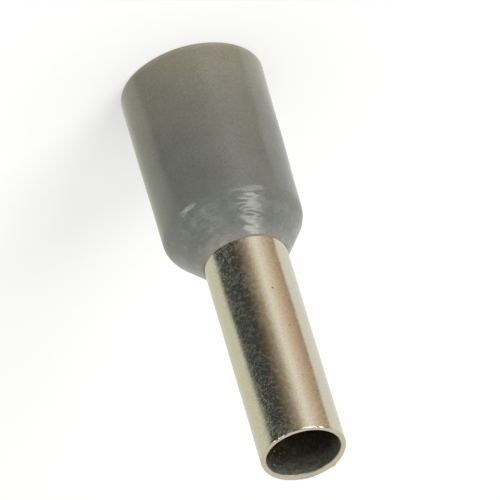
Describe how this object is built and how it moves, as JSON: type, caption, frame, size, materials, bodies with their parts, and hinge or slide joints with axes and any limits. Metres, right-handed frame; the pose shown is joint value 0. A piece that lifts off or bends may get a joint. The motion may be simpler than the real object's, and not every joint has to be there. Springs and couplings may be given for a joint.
{
  "type": "insulated wire ferrule",
  "caption": "Crimp sleeve for a stranded wire end: a plated copper tube, flared inside, gripped by a drafted plastic collar with a rounded shoulder.",
  "frame": {"origin": "centre of the collar's mouth, which is the face it stands on", "axes": "+Z runs along the ferrule's axis from the collar's mouth to the tube's cut end; X and Y are any two directions across it"},
  "size_m": [0.0056, 0.0056, 0.0169],
  "materials": {
    "plated_tube": "tin plated copper, satin with fine draw lines and small pits",
    "grey_collar": "moulded polypropylene, satin sides and a glossier, rippled shoulder"
  },
  "bodies": {
    "root": {"tube": "plated_tube", "collar": "grey_collar"}
  },
  "joints": []
}
